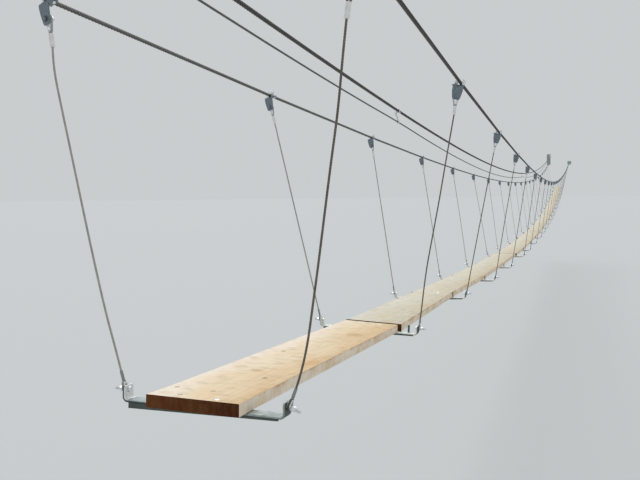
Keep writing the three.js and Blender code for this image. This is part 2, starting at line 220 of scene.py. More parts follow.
def carrying_point(side, y):
    """The carrying rope follows the deck at hand height and is straight past its hangers."""
    def curved(at):
        across = side * (ROPE_X_LOW + (ROPE_X_FIRST - ROPE_X_LOW) * lowness(at))
        return np.array([across, at, deck_height(at) + ROPE_RISE])

    end = min(max(y, FIRST_Y), LAST_Y)
    step = 1.0 if end == FIRST_Y else -1.0
    direction = (curved(end + step) - curved(end)) * step
    return curved(end) + direction * (y - end)


def guard_point(y):
    rise = GUARD_END_RISE * ((y - GUARD_LOW_Y) / GUARD_LOW_Y) ** 2
    return np.array([GUARD_X, y, GUARD_LOW_RISE + rise])


def lifeline_point(y):
    """The lifeline hangs below the guard rope and droops between its links."""
    stops = (0.0, *LINK_STATIONS, FAR_FACE_Y)
    i = max(1, next((k for k, stop in enumerate(stops) if stop >= y), len(stops) - 1))
    share = (y - stops[i - 1]) / (stops[i] - stops[i - 1])
    sag = LIFELINE_END_SAG if i in (1, len(stops) - 1) else LIFELINE_SAG
    return guard_point(y) - Z * (LINK_DROP + 4 * sag * share * (1 - share))


# Shapes are pairs: an array of corner points and a list of faces
def unit(vectors):
    vectors = np.asarray(vectors, float)
    return vectors / np.linalg.norm(vectors, axis=-1, keepdims=True)


def lofted(rings, endless=False):
    """A skin over rings of points, closed by a face at each end, or endless like a tyre."""
    rings = np.asarray(rings, float)
    count, around = rings.shape[:2]
    steps = np.arange(count if endless else count - 1)[:, None]
    k = np.arange(around)[None, :]
    here = steps * around
    there = (steps + 1) % count * around
    after = (k + 1) % around
    quads = np.stack([here + k, here + after, there + after, there + k], axis=-1)
    faces = quads.reshape(-1, 4).tolist()
    if not endless:
        faces.append(list(range(around - 1, -1, -1)))
        faces.append(list(range((count - 1) * around, count * around)))
    return rings.reshape(-1, 3), faces


def joined(shapes):
    points = []
    faces = []
    start = 0
    for shape_points, shape_faces in shapes:
        points.append(shape_points)
        faces.extend([[start + i for i in face] for face in shape_faces])
        start += len(shape_points)
    return np.concatenate(points), faces


def set_at(shape, origin, across, along, up):
    """Puts a shape drawn about its own x, y and z axes at a place, on three unit vectors."""
    points, faces = shape
    axes = np.array([across, along, up], float)
    return np.asarray(origin, float) + points @ axes, faces


def axes_about(direction, near):
    """Unit vectors across, along and up, with up on the direction and across close to near."""
    up = unit(direction)
    across = unit(np.asarray(near, float) - up * np.dot(near, up))
    return across, np.cross(up, across), up


def reach_along(path):
    """How far along the path each of its points is."""
    return np.concatenate([[0.0], np.cumsum(np.linalg.norm(np.diff(path, axis=0), axis=1))])


def points_at(places, reach, path):
    return np.stack([np.interp(places, reach, path[:, i]) for i in range(3)], axis=1)


def spaced(path, step):
    """Points along a path at even steps. A list of steps gives (until, step) pairs."""
    path = np.asarray(path, float)
    reach = reach_along(path)
    places = [0.0]
    for until, size in step if isinstance(step, list) else [(reach[-1], step)]:
        run = min(until, reach[-1]) - places[-1]
        count = max(1, round(run / size))
        if run > 0:
            places.extend(places[-1] + run * (np.arange(count) + 1) / count)
    return points_at(places, reach, path), np.array(places)


def in_plane(points, origin, aside, up):
    """Flat points put at a place, on two unit vectors."""
    points = np.asarray(points, float)
    return np.asarray(origin) + points[:, :1] * aside + points[:, 1:] * up


def with_axes(path, across):
    """A path, and at each point the unit vectors aside, close to across, and outward."""
    path = np.asarray(path, float)
    along = unit(np.gradient(path, axis=0))
    aside = unit(across - along * (along @ across)[:, None])
    return path, aside, np.cross(along, aside)


def swept(path, section, across):
    """A section of (aside, outward) points carried along a path. across sets aside."""
    return lofted([in_plane(section, *place) for place in zip(*with_axes(path, across))])


def circle(radius, sides):
    angles = 2 * math.pi * np.arange(sides) / sides
    return np.stack([radius * np.cos(angles), radius * np.sin(angles)], axis=1)


def laid_rope(path, diameter, across, step):
    """A rope of strands laid round each other: a lobed section that turns as it goes."""
    path, reach = spaced(path, step)
    _, aside, outward = with_axes(path, across)
    lobes = np.arange(2 * STRANDS)
    radius = diameter / 2 * np.where(lobes % 2, 0.8, 1.0)
    angles = 2 * math.pi * (lobes[None, :] / len(lobes) + reach[:, None] / (LAY * diameter))
    rings = (path[:, None] + aside[:, None] * (radius * np.cos(angles))[..., None]
             + outward[:, None] * (radius * np.sin(angles))[..., None])
    return lofted(rings)


def stacked(levels, endless=False):
    """A skin over flat rings, in (ring, height) pairs."""
    return lofted([[(*point, height) for point in ring] for ring, height in levels], endless)


def turned(profile, sides):
    """A profile of (radius, height) pairs turned about z."""
    return stacked([(circle(radius, sides), height) for radius, height in profile])


def hexagon(across_flats, height, crown):
    """A nut or bolt head standing on z = 0, its corners turned off at the crown."""
    corner = across_flats / math.sqrt(3)
    flat = across_flats / 2

    def ring(reach):
        points = circle(1.0, 12)
        points[::2] *= min(corner, reach)
        points[1::2] *= min(flat, reach)
        return points

    return stacked([(ring(flat * 0.98), 0.0), (ring(corner), crown),
                    (ring(corner), height - crown), (ring(flat * 0.96), height)])


def bolt_head(height):
    return hexagon(HEAD_FLATS, height, HEAD_CROWN)


def slab(outline, thickness, chamfer):
    """A flat plate with chamfered edges, its middle plane on z = 0. The outline is convex."""
    outline = np.asarray(outline, float)
    middle = (outline.max(axis=0) + outline.min(axis=0)) / 2
    inset = middle + (outline - middle) * (1 - chamfer / np.abs(outline - middle).max(axis=0))
    return stacked([(inset, -thickness / 2), (outline, chamfer - thickness / 2),
                    (outline, thickness / 2 - chamfer), (inset, thickness / 2)])


def holed_slab(outline, hole, thickness, chamfer):
    """A flat plate with a hole, from two loops of as many points, seen from +z."""
    outline = np.asarray(outline, float)
    hole = np.asarray(hole, float)
    centre = hole.mean(axis=0)
    inset = outline - unit(outline - centre) * chamfer
    wide = hole + unit(hole - centre) * chamfer
    levels = [(inset, thickness / 2), (wide, thickness / 2), (hole, thickness / 2 - chamfer),
              (hole, chamfer - thickness / 2), (wide, -thickness / 2), (inset, -thickness / 2),
              (outline, chamfer - thickness / 2), (outline, thickness / 2 - chamfer)]
    return stacked(levels[::-1], endless=True)


def bent_strip(path, widths, thickness, across, chamfer=0.7):
    """A strip of steel bent along a path, wide at each point as given, across the bend."""
    half = thickness / 2
    rings = []
    for *place, width in zip(*with_axes(path, across), widths):
        w = width / 2
        section = [(w - chamfer, half), (-w + chamfer, half), (-w, half - chamfer), (-w, chamfer - half),
                   (chamfer - w, -half), (w - chamfer, -half), (w, chamfer - half), (w, half - chamfer)]
        rings.append(in_plane(section, *place))
    return lofted(rings)


def arc(centre, radius, start, end, steps):
    """Points on an arc in a plane, angles in degrees."""
    angles = np.radians(np.linspace(start, end, steps))
    return [(centre[0] + radius * math.cos(a), centre[1] + radius * math.sin(a)) for a in angles]


# Materials
def linear(hex_colour):
    """An sRGB hex colour as linear red, green, blue and alpha."""
    parts = [int(hex_colour[i:i + 2], 16) / 255 for i in (1, 3, 5)]
    return [c / 12.92 if c <= 0.04045 else ((c + 0.055) / 1.055) ** 2.4 for c in parts] + [1.0]


def add_node(kind, inputs, tree=None, **settings):
    """Adds a node, gives it its settings, and fills or links its inputs. Without a tree it goes
    in the one that its first input is in."""
    if tree is None:
        tree = next(iter(inputs.values())).id_data
    node = tree.nodes.new("ShaderNode" + kind)
    for name, value in settings.items():
        setattr(node, name, value)
    for socket, value in inputs.items():
        if isinstance(value, bpy.types.NodeSocket):
            tree.links.new(value, node.inputs[socket])
        else:
            node.inputs[socket].default_value = value
    return node


def new_finish(name, metallic, roughness):
    """A material with its one shader."""
    finish = bpy.data.materials.new(name)
    finish.use_nodes = True
    shader = finish.node_tree.nodes["Principled BSDF"]
    shader.inputs["Metallic"].default_value = metallic
    shader.inputs["Roughness"].default_value = roughness
    return finish, finish.node_tree, shader


def grained(place, size, detail=2.0, stretch=(1.0, 1.0, 1.0)):
    """Noise whose blobs are about size millimetres across, stretched by share along each axis."""
    scaled = add_node("VectorMath", {0: place, 1: stretch}, operation="MULTIPLY")
    noise = add_node("TexNoise", {"Vector": scaled.outputs[0], "Scale": 1000 / size, "Detail": detail})
    return noise.outputs["Fac"]


def between(value, low, high, to_low=0.0, to_high=1.0):
    """The value spread from a range to another, kept inside it."""
    spread = add_node("MapRange", {0: value, 1: low, 2: high, 3: to_low, 4: to_high})
    return spread.outputs[0]


def mixed(share, first, second):
    """Two colours mixed: hex strings or colour sockets."""
    colours = [linear(c) if isinstance(c, str) else c for c in (first, second)]
    blend = add_node("Mix", {0: share, 6: colours[0], 7: colours[1]}, data_type="RGBA")
    return blend.outputs[2]


def result_of(operation, first, second):
    return add_node("Math", {0: first, 1: second}, operation=operation).outputs[0]


def layered(colour, *layers):
    """A colour under layers of (where, how strong, colour)."""
    for where, strength, tint in layers:
        colour = mixed(result_of("MULTIPLY", where, strength), colour, tint)
    return colour


def coat(tree, shader, colour, height, millimetres):
    """Gives the shader its colour and a bump of a real height."""
    bump = add_node("Bump", {"Height": height, "Distance": millimetres / 1000})
    tree.links.new(bump.outputs[0], shader.inputs["Normal"])
    tree.links.new(colour, shader.inputs["Base Color"])


def on_the_board(tree):
    """Two places in metres: across, along and up on the board itself, and in its log."""
    names = ("board", "log")
    return [add_node("Attribute", {}, tree, attribute_name=name).outputs["Vector"] for name in names]


def length_of(vector):
    return add_node("VectorMath", {0: vector}, operation="LENGTH").outputs["Value"]


def year_rings(log):
    """Latewood of the yearly rings about the log's heart, wavering along it."""
    waver = between(grained(log, 240, 2.0, (1.0, 0.16, 1.0)), 0.0, 1.0, -0.022, 0.022)
    across, _, up = add_node("SeparateXYZ", {0: log}).outputs
    radius = length_of(add_node("CombineXYZ", {0: across, 2: up}).outputs[0])
    turn = result_of("DIVIDE", result_of("ADD", radius, waver), YEAR / 1000)
    return between(result_of("FRACT", turn, 0.0), 0.35, 1.0)


def rough_sawn_spruce(name, left, middle, right, marks=()):
    """Spruce straight from the saw, some months outdoors: a dull face that goes from cream to
    honey across the board, with faint rings, soft grey-brown smears and the saw's ripple.
    Marks are (across, along, half width, half length, colour, share) on the board."""
    finish, tree, shader = new_finish(name, 0.0, 0.82)
    board, log = on_the_board(tree)
    across, along, _ = add_node("SeparateXYZ", {0: board}).outputs
    wander = between(grained(log, 260, 3.0, (1.0, 0.3, 1.0)), 0.3, 0.7, -0.07, 0.07)
    drift = result_of("ADD", across, wander)
    colour = mixed(between(drift, -0.11, 0.0), left, middle)
    colour = mixed(between(drift, 0.0, 0.14), colour, right)
    fibres = between(grained(log, 5, 3.0, (1.0, 0.04, 1.0)), 0.3, 0.7)
    smears = between(grained(log, 30, 4.0, (0.6, 1.0, 1.0)), 0.52, 0.72)
    patches = between(grained(log, 120, 2.0, (1.0, 0.7, 1.0)), 0.45, 0.7)
    colour = layered(colour, (year_rings(log), 0.13, "#b58a55"), (fibres, 0.25, "#f3e8d3"),
                     (patches, 0.25, "#d2aa72"), (smears, 0.33, "#8f7757"))
    ragged = between(grained(log, 9, 2.0), 0.25, 0.75, -0.35, 0.35)
    for x, y, wide, far, tint, share in marks:
        away = add_node("VectorMath", {0: board, 1: (x / 1000, y / 1000, 0)}, operation="SUBTRACT")
        size = (1000 / wide, 1000 / far, 0)
        away = add_node("VectorMath", {0: away.outputs[0], 1: size}, operation="MULTIPLY")
        reach = length_of(away.outputs[0])
        spot = between(result_of("ADD", reach, ragged), 0.5, 1.1, share, 0.0)
        colour = mixed(spot, colour, tint)

    # The saw leaves ripples across the board
    stroke = result_of("DIVIDE", along, SAW_RIPPLE / 1000)
    stroke = result_of("ADD", stroke, grained(log, 30, 2.0))
    ripple = result_of("PINGPONG", stroke, 0.5)
    height = result_of("ADD", ripple, result_of("MULTIPLY", fibres, 1.5))
    coat(tree, shader, colour, height, 0.35)
    return finish


def sawn_side():
    """The board's sawn edge: pinkish tan, mottled by upright saw marks, with a honey-coloured
    line under the top arris where the sun has darkened it."""
    finish, tree, shader = new_finish("sawn_side", 0.0, 0.85)
    board, log = on_the_board(tree)
    _, _, up = add_node("SeparateXYZ", {0: board}).outputs
    strokes = between(grained(log, 9, 3.0, (1.0, 1.0, 0.12)), 0.35, 0.68)
    mottle = between(grained(log, 38, 3.0, (1.0, 0.5, 1.0)), 0.4, 0.68)
    colour = mixed(mottle, "#f7e8d2", "#e6ccaa")
    waver = between(mottle, 0.0, 1.0, -0.004, 0.004)
    arris = between(result_of("ADD", up, waver), 0.023, 0.03)
    colour = layered(colour, (strokes, 0.2, "#a58a6c"), (arris, 0.55, "#b98a55"))
    coat(tree, shader, colour, strokes, 0.4)
    return finish


def stained_end_grain():
    """End grain that drinks up wood stain: dark red-brown, dull, with rings and grey blots."""
    finish, tree, shader = new_finish("stained_end_grain", 0.0, 0.9)
    shader.inputs["Specular IOR Level"].default_value = 0.1  # open pores hardly shine
    board, log = on_the_board(tree)
    across, _, _ = add_node("SeparateXYZ", {0: board}).outputs
    late = year_rings(log)
    blot = between(grained(log, 34, 3.0), 0.45, 0.72)
    sawn = between(grained(log, 11, 3.0, (1.0, 1.0, 0.4)), 0.4, 0.7)
    edge = PLANK_WIDTH / 2000
    colour = mixed(between(across, -edge, edge), "#693b21", "#482613")
    colour = layered(colour, (blot, 0.45, "#745331"), (sawn, 0.3, "#8a5a35"), (late, 0.35, "#2c170a"))
    coat(tree, shader, colour, result_of("ADD", late, grained(log, 2.5, 2.0)), 0.3)
    return finish


def metal(name, colours, metallic, roughness, blotch, grit, relief, lit_top_colour=None):
    """Metal with cloudy tone and gloss. blotch and grit are sizes in millimetres. Painted light turns the
    faces that look up towards the last colour given."""
    finish, tree, shader = new_finish(name, metallic, roughness)
    place = add_node("TexCoord", {}, tree).outputs["Object"]
    cloud = between(grained(place, blotch, 3.0), 0.35, 0.65)
    speck = between(grained(place, grit, 2.0), 0.55, 0.75)
    colour = layered(mixed(cloud, colours[0], colours[1]), (speck, 0.5, colours[2]))
    # Painted light: faces that look up turn towards the paler colour
    if lit_top_colour:
        normal = add_node("NewGeometry", {}, tree).outputs["Normal"]
        upward = add_node("SeparateXYZ", {0: normal}).outputs[2]
        colour = mixed(between(upward, -0.3, 0.5), colour, lit_top_colour)
    gloss = between(cloud, 0.0, 1.0, roughness - 0.08, roughness + 0.1)
    tree.links.new(gloss, shader.inputs["Roughness"])
    coat(tree, shader, colour, result_of("ADD", cloud, speck), relief)
    return finish


def hot_dip_zinc(name, metallic, dark, pale, clouded):
    """Steel dipped in molten zinc: matt pale grey with crystals of slightly different tone."""
    finish, tree, shader = new_finish(name, metallic, 0.45)
    place = add_node("TexCoord", {}, tree).outputs["Object"]
    crystals = add_node("TexVoronoi", {"Vector": place, "Scale": 1000 / ZINC_CRYSTAL})
    tone = add_node("SeparateColor", {0: crystals.outputs["Color"]}).outputs[0]
    cloud = between(grained(place, 35, 3.0), 0.35, 0.7)
    colour = layered(mixed(tone, dark, pale), (cloud, 0.4, clouded))
    tree.links.new(between(tone, 0.0, 1.0, 0.36, 0.54), shader.inputs["Roughness"])
    coat(tree, shader, colour, result_of("ADD", tone, grained(place, 3, 2.0)), 0.12)
    return finish


# Two small knots, a faint one and brown streaks on the near board, at their places
NEAR_MARKS = ((-59, 688, 9, 10, "#6b5a49", 0.75), (60, 284, 9, 11, "#6b5a45", 0.7),
              (-6, 372, 24, 20, "#a08457", 0.5), (43, 1151, 40, 45, "#b08b5c", 0.55),
              (96, 541, 26, 60, "#bd8f55", 0.5), (-68, 393, 24, 30, "#b5986f", 0.35))
WARM_FACE = rough_sawn_spruce("warm_sawn_spruce", "#dfd3c5", "#d6c6a8", "#c9ab80", NEAR_MARKS)
PALE_FACE = rough_sawn_spruce("pale_sawn_spruce", "#c3c1b3", "#bbb9a9", "#b6ae95")
SAWN_SIDE = sawn_side()
END_GRAIN = stained_end_grain()
ZINC = hot_dip_zinc("hot_dip_zinc", 0.75, "#929b9a", "#afb7b6", "#7d8786")
# The bars further on get a paler, brighter copy of the zinc: painted light, as they lie more in the light
PALE_ZINC = hot_dip_zinc("painted_light_hot_dip_zinc", 0.4, "#cfd3cf", "#e2e5e0", "#c0c5c0")
# The angle's leg, its underside and front edge, and the stops face away from the sky: painted shade, a
# darker green-grey zinc
SHADED_ZINC = metal("painted_shade_galvanised_steel", ("#4a524d", "#5a635e", "#777f79"), 0.5, 0.58, 18, 2.5, 0.15)
# Heads of the screws that hold the boards, trodden dull
TRODDEN_ZINC = metal("trodden_zinc_heads", ("#a3968c", "#b5a89c", "#8a7a70"), 0.3, 0.6, 5, 1.0, 0.1)
# Steel sleeves on the hangers' lower ends, dull grey: painted shade, darker than the bright ferrules above
LOWER_SLEEVE = metal("shaded_sleeves", ("#878984", "#999b96", "#adafaa"), 0.5, 0.5, 10, 1.2, 0.1)
# Weathered galvanised wire rope: dark, with painted light that turns the faces looking up dull grey zinc
DARK_ROPE = metal("dark_wire_rope", ("#3c3a37", "#4f4d49", "#75726d"),
                  0.6, 0.5, 25, 1.6, 0.25, "#8f918c")
# The left carrying rope and the lifeline are a lighter grey
GREY_ROPE = metal("weathered_wire_rope", ("#545450", "#676763", "#85847f"),
                  0.6, 0.5, 25, 1.6, 0.25, "#a5a7a3")
# Thinner, newer galvanised rope of the hangers: light grey on the left, grey-brown on the right
HANGER_WIRE = {
    -1: metal("pale_hanger_rope", ("#a39e96", "#b5b1aa", "#cfccc6"), 0.5, 0.48, 20, 1.2, 0.15),
    1: metal("brown_hanger_rope", ("#665f55", "#7a7268", "#989187"), 0.7, 0.48, 20, 1.2, 0.15)}
# Aluminium pressed cold round the rope: bright, with flow marks from the press
FERRULE = metal("pressed_aluminium", ("#e2e2de", "#f0f0ed", "#c8c8c4"), 0.6, 0.38, 12, 1.5, 0.1)
# Rolled steel plate, galvanised, in slate grey
SLATE_STEEL = metal("slate_galvanised_plate", ("#6f7a82", "#828d95", "#98a1a7"), 0.6, 0.5, 14, 2.0, 0.15)
# Electroplated zinc on bolts and nuts: nearly white, glossy. Also the painted highlights on the first bar's
# left lug and on one screw head per bar
BRIGHT_ZINC = metal("plated_zinc_and_painted_highlights", ("#edeff1", "#dfe3e6", "#c6cbcf"), 0.6, 0.3, 6, 1.0, 0.05)


# Pieces
def place(points):
    """Bridge millimetres to the model's frame in metres."""
    return (np.asarray(points, float) + ORIGIN) / 1000


def new_object(name, data):
    thing = bpy.data.objects.new(name, data)
    bpy.context.scene.collection.objects.link(thing)
    return thing


def add_piece(name, shape, finishes, stands_for, sharp=35.0, finish_of=None):
    """Makes an object of a shape, rides it on the root and hides the parts it stands for."""
    points, faces = shape
    mesh = bpy.data.meshes.new(name)
    mesh.from_pydata(place(points).tolist(), [], faces)
    for finish in finishes:
        mesh.materials.append(finish)
    if finish_of is not None:
        mesh.polygons.foreach_set("material_index", finish_of)
    mesh.shade_smooth()
    mesh.set_sharp_from_angle(angle=math.radians(sharp))
    mesh.update()
    piece = new_object(name, mesh)
    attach(piece, "root")
    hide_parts(*stands_for)
    return piece


# Planks: one long board over four bays, bent along the deck, sawn square with softened edges
def rounded_rectangle(width, height, radius, steps):
    points = []
    for x, z, start in ((1, 0, -90), (1, 1, 0), (-1, 1, 90), (-1, 0, 180)):
        centre = (x * (width / 2 - radius), radius if z == 0 else height - radius)
        points.extend(arc(centre, radius, start, start + 90, steps))
    return points


def board_rows(number, first, last):
    """A board's lower left and right corners, in rows over the edges of the flanges under it."""
    half = PLANK_WIDTH / 2
    near, far = PLANK_EDGES.get(number, ((-half, half), (-half, half)))
    places = []
    for n in range(first, last + 1):
        overhang = PLANK_OVERHANG if n in (1, BARS) else -PLANK_GAP / 2
        places.append((n, -overhang if n == first else -FLANGE_WIDTH / 2))
        places.append((n, overhang if n == last else FLANGE_WIDTH / 2))
    rows = []
    for share, (n, beyond) in zip(np.linspace(0, 1, len(places)), places):
        middle, across, along, up = bar_place(n)
        edges = [near[k] + (far[k] - near[k]) * share - BAR_ASIDE.get(n, 0) for k in (0, 1)]
        rows.append([middle + across * x + along * beyond + up * PLANK_SEAT for x in edges])
    return np.array(rows)


def board_shape(number, first, last):
    """The board, its own coordinates across, along and up at each point, and its faces' finishes."""
    rows = board_rows(number, first, last)
    reach = reach_along(rows.mean(axis=1))
    places = np.linspace(0, reach[-1], round(reach[-1] / BOARD_STEP))
    left, right = (points_at(places, reach, rows[:, k]) for k in (0, 1))
    middle = (left + right) / 2
    width = np.linalg.norm(right - left, axis=1)
    across = unit(right - left)
    up = unit(np.cross(across, np.gradient(middle, axis=0)))
    section = np.array(rounded_rectangle(PLANK_WIDTH, PLANK_THICKNESS, PLANK_EDGE, 3))
    aside = section[None, :, 0] + np.sign(section[None, :, 0]) * (width[:, None] - PLANK_WIDTH) / 2
    over = np.broadcast_to(section[None, :, 1], aside.shape)
    rings = middle[:, None] + across[:, None] * aside[..., None] + up[:, None] * over[..., None]
    own = np.stack([aside, np.broadcast_to(places[:, None], aside.shape), over], axis=-1)[:, ::-1]

    # Faces round each length, then the two ends
    rim = np.abs(section[::-1, 0]) > PLANK_WIDTH / 2 - PLANK_EDGE / 3
    face, end, side = 0, 1, 2
    finish_of = np.tile(np.where(rim & np.roll(rim, -1), side, face), len(places) - 1)
    return lofted(rings[:, ::-1]), own.reshape(-1, 3), [*finish_of.tolist(), end, end]


PLANK_ENDS = [1, *[n for n in BAR_NUMBERS if n % PLANK_BAYS == 2]]
random = np.random.default_rng(7)
for i in range(1, len(PLANK_ENDS)):
    shape, own, finish_of = board_shape(i, PLANK_ENDS[i - 1], PLANK_ENDS[i])
    finishes = [WARM_FACE if i == 1 else PALE_FACE, END_GRAIN, SAWN_SIDE]
    board = add_piece(f"board_{i}", shape, finishes, [f"plank_{i}"], 50, finish_of)

    # Each board is cut from another log, its heart below the board
    heart = np.array([random.uniform(-30, 60), -9000 * i, random.uniform(-110, -60)])
    for name, wood in (("board", own), ("log", own - heart)):
        attribute = board.data.attributes.new(name, "FLOAT_VECTOR", "POINT")
        attribute.data.foreach_set("vector", (wood / 1000).ravel())

# Flat-domed screw heads beside each crossbar, sunk a little into the boards
dome = [(SCREW_HEAD * 0.6, -1.5), (SCREW_HEAD, -0.4), (SCREW_HEAD * 0.85, 0.5), (SCREW_HEAD * 0.4, 1.0)]
screws = []
for n in BAR_NUMBERS:
    middle, across, along, up = bar_place(n)
    for x, beyond in SCREWS:
        seat = middle + across * x + along * beyond + up * (PLANK_SEAT + PLANK_THICKNESS)
        screws.append(set_at(turned(dome, 14), seat, across, along, up))
head_faces = len(screws[0][1])
# Painted glint: the last screw head on each bar is the bright plated zinc, where light catches its dome
glinting_screw = SCREWS[-1]
finish_of = [int(screw == glinting_screw) for _ in BAR_NUMBERS for screw in SCREWS for _ in range(head_faces)]
add_piece("board_screws", joined(screws), [TRODDEN_ZINC, BRIGHT_ZINC],
          [f"plank_{i}" for i in range(1, len(PLANK_ENDS))], finish_of=finish_of)


# Crossbars: angle steel, its flange bent up at both ends, with a bolt through each lug
def crossbar_shape():
    half = BAR_LENGTH / 2
    middle_radius = BEND_RADIUS + STEEL / 2
    lug = half - STEEL / 2
    bend_x = lug - middle_radius
    middle = -STEEL / 2
    bend = arc((bend_x, middle + middle_radius), middle_radius, -90, 0, 8)
    rise = [(lug, z) for z in (20.0, LUG_HEIGHT - 5, LUG_HEIGHT - 2, LUG_HEIGHT)]
    cut = half - LEG_CUTBACK
    right = [(cut, middle), *bend, *rise]
    widths = [FLANGE_WIDTH] * (len(right) - 2) + [FLANGE_WIDTH - 3, FLANGE_WIDTH - 8]
    left = [(-x, z) for x, z in reversed(right)]
    path = [(x, 0.0, z) for x, z in [*left, (0.0, middle), *right]]
    strip = bent_strip(path, [*widths[::-1], FLANGE_WIDTH, *widths], STEEL, Y, 1.2)
    leg_top = -STEEL + 0.05
    near = -FLANGE_WIDTH / 2
    outline = [(-cut, -LEG_DROP_LEFT), (cut, -LEG_DROP_RIGHT), (cut, leg_top), (-cut, leg_top)]
    leg = set_at(slab(outline, STEEL, 0.6), (0, near + STEEL / 2, 0), X, Z, -Y)
    return strip, leg


def bolt_shape():
    """Along +z from the lug's outer face: head, washer, lock nut and the thread's end."""
    thread = [(BOLT_RADIUS - 0.1, -STEEL - 0.5), (BOLT_RADIUS - 0.1, THREAD_FROM - 0.5)]
    turns = int((BOLT_OUTSIDE - 1 - THREAD_FROM) / THREAD_PITCH)
    for z in THREAD_FROM + THREAD_PITCH * np.arange(turns):
        thread += [(BOLT_RADIUS - 0.65, z), (BOLT_RADIUS, z + 0.6)]
    thread += [(BOLT_RADIUS - 0.7, BOLT_OUTSIDE - 0.7), (BOLT_RADIUS - 1.4, BOLT_OUTSIDE)]
    head = set_at(bolt_head(HEAD_HEIGHT), (0, 0, -STEEL), X, -Y, -Z)
    washer = set_at(turned([(7.6, 0.0), (8, 0.3), (8, 1.1), (7.6, 1.4)], 20), (0, 0, 8.3), X, Y, Z)
    nut = set_at(bolt_head(8.0), (0, 0, 9.8), X, Y, Z)
    collar = set_at(turned([(6.2, 0.0), (6.2, 2.6), (5.2, 3.4)], 20), (0, 0, 17.7), X, Y, Z)
    return joined([turned(thread, 10), head, washer, nut, collar])


def bar_finish(strip, shaded_steel, bolt, left_edge):
    """Top faces and edges are bright; underside, leg and stops get painted shade, a darker zinc. The left
    half's front edge is as given: painted shade on the first bar. The top of the left lug and its bend take
    the fourth finish. A length of strip has 8 faces: 2 is the front edge and 4 the underside."""
    bright, plated, shaded, pale = range(4)
    lengths = (len(strip[1]) - 2) // 8
    finishes = []
    for length in range(lengths):
        top = pale if length < LEFT_BEND_LENGTHS else bright
        edge = left_edge if length < lengths / 2 else bright
        finishes += [top, top, edge, shaded, shaded, shaded, top, top]
    return [*finishes, pale, bright, *[shaded] * len(shaded_steel[1]), *[plated] * (2 * len(bolt[1]))]


strip, leg = crossbar_shape()
bolt = bolt_shape()
edge = STEEL / 2
stop = slab([(-edge, -0.5), (edge, -0.5), (edge, STOP_HEIGHT), (-edge, STOP_HEIGHT)], STOP_WIDTH, 0.5)
for n in BAR_NUMBERS:
    # Upright stops keep the planks in line on every crossbar but the first, where none shows
    stops = []
    if n > 1:
        for side in (-1, 1):
            x = STOP_AT.get((side, n), side * STOP_REACH) - BAR_ASIDE.get(n, 0)
            stops.append(set_at(stop, (x, STOP_BACK, 0), X, Z, -Y))
    # Painted shade: the leg and the stops take the darker zinc
    shaded_steel = joined([leg, *stops])
    bolts = []
    for side in (-1, 1):
        droop = BOLT_DROOP.get((side, n), 0.0)
        outward = side * X * math.cos(droop) - Z * math.sin(droop)
        upright = Z * math.cos(droop) + side * X * math.sin(droop)
        bolts.append(set_at(bolt, (side * BAR_LENGTH / 2, 0, BOLT_RISE), upright, side * Y, outward))
    shape = set_at(joined([strip, shaded_steel, *bolts]), *bar_place(n))
    # Painted light and shade on the first bar: its top is the darker zinc, the top of its left lug and bend
    # the bright plated zinc as a painted highlight, and the left half of its front edge painted shade. The
    # bars further on take the paler copy, painted light.
    top, lit_left_bend = (ZINC, BRIGHT_ZINC) if n == 1 else (PALE_ZINC, PALE_ZINC)
    finish_of = bar_finish(strip, shaded_steel, bolt, 2 if n == 1 else 0)
    add_piece(f"crossbar_steel_{n:02d}", shape, [top, BRIGHT_ZINC, SHADED_ZINC, lit_left_bend],
              [f"crossbar_{n:02d}"], 30, finish_of=finish_of)


# Eyes: a rope bent round a teardrop and caught in a ferrule or clips at its throat
def teardrop(radius, neck, gap, steps):
    """Counter-clockwise from the throat at (gap, -neck), over the top and back."""
    far = math.hypot(gap, neck)
    lean = math.degrees(math.atan2(-neck, gap) + math.acos(radius / far))
    top = arc((0, 0), radius, lean, 180 - lean, steps)
    return np.array([(gap, -neck), *top, (-gap, -neck)])


def thimble(line, axis, half_width, lip, wall, steel):
    """A channel of sheet steel along the inside of an eye, with its lips round the rope."""
    w = half_width
    channel = [(w, lip), (w - wall, lip), (w - wall, steel), (wall - w, steel), (wall - w, lip),
               (-w, lip), (-w, -steel), (w, -steel)]
    return swept(line, channel, axis)


def hanger_eye(centre, axis, throat, neck):
    """A hanger's eye in its deep thimble. axis runs through it and throat points to the neck."""
    up = -unit(throat)
    aside = np.cross(up, axis)
    loop = teardrop(EYE_HOLE + THIMBLE_STEEL + HANGER_ROPE / 2, neck, HANGER_ROPE * 0.53, 16)
    strand = laid_rope(in_plane(loop, centre, aside, up), HANGER_ROPE, axis, HANGER_ROPE / 2)
    lining = teardrop(EYE_HOLE + THIMBLE_STEEL / 2, neck * 0.86, HANGER_ROPE * 0.12, 16)
    line = in_plane(lining, centre, aside, up)
    return strand, thimble(line, axis, EYE_WIDTH / 2, HANGER_ROPE * 0.8, 1.0, THIMBLE_STEEL / 2)


def ferrule(start, direction, radius, length):
    """A sleeve pressed round two runs of rope, its ends drawn in."""
    profile = [(radius * 0.72, 0.0), (radius * 0.93, 0.7), (radius, 2.2), (radius, length - 2.2),
               (radius * 0.93, length - 0.7), (radius * 0.6, length)]
    across, along, up = axes_about(direction, X)
    return set_at(turned(profile, 16), start, across, along, up)


